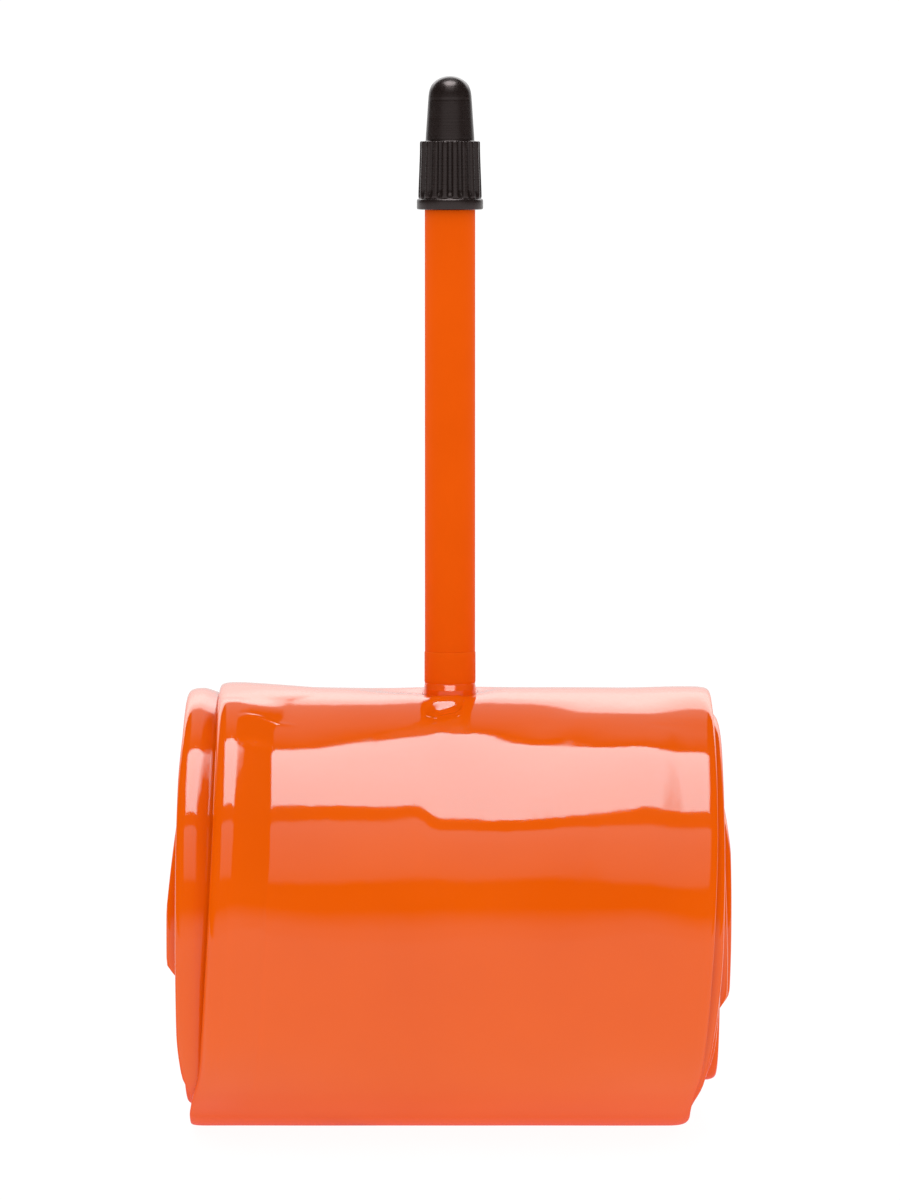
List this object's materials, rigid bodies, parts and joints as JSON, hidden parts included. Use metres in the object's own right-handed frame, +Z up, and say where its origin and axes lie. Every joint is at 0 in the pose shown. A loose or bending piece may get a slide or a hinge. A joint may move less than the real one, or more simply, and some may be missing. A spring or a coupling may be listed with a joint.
{
  "type": "rolled bicycle inner tube",
  "caption": "Thin film bicycle inner tube, flattened and rolled up, with a long plastic press-pin valve stem and ribbed dust cap standing on top.",
  "frame": {"origin": "bottom centre of the bounding box, on the surface that the roll rests on, under the valve's axis", "axes": "+X along the roll's axis, +Z up along the valve, towards the dust cap; -Y is the side the picture shows"},
  "size_m": [0.0675, 0.0548, 0.1248],
  "materials": {
    "tube_film": "glossy, slightly translucent thermoplastic polyurethane film",
    "valve_plastic": "satin moulded plastic",
    "cap_plastic": "satin moulded plastic",
    "brass": "turned",
    "nickel_brass": "turned and nickel plated",
    "seal_rubber": "matte"
  },
  "bodies": {
    "tube": {"tube_roll": "tube_film", "reinforcing_patch": "tube_film", "valve_foot": "valve_plastic", "valve_stem": "valve_plastic", "threaded_insert": "brass", "core_gasket": "seal_rubber", "core_body": "nickel_brass"},
    "pin": {"core_pin": "nickel_brass", "pin_seal": "seal_rubber"},
    "nut": {"lock_nut": "nickel_brass"},
    "cap": {"dust_cap": "cap_plastic"}
  },
  "joints": [
    {"name": "cap_lift", "type": "slide", "parent": "tube", "child": "cap", "axis": [0, 0, 1], "range_m": [0, 0.04]},
    {"name": "nut_turn", "type": "hinge", "parent": "tube", "child": "nut", "pos_m": [0, 0, 0.1158], "axis": [0, 0, 1], "range_deg": [0, 1800]},
    {"name": "pin_drop", "type": "slide", "parent": "tube", "child": "pin", "axis": [0, 0, 1], "range_m": [-0.002, 0]}
  ],
  "couplings": [
    {"joint": "nut_turn", "follows": "pin_drop", "rad_per_m": -15708}
  ]
}
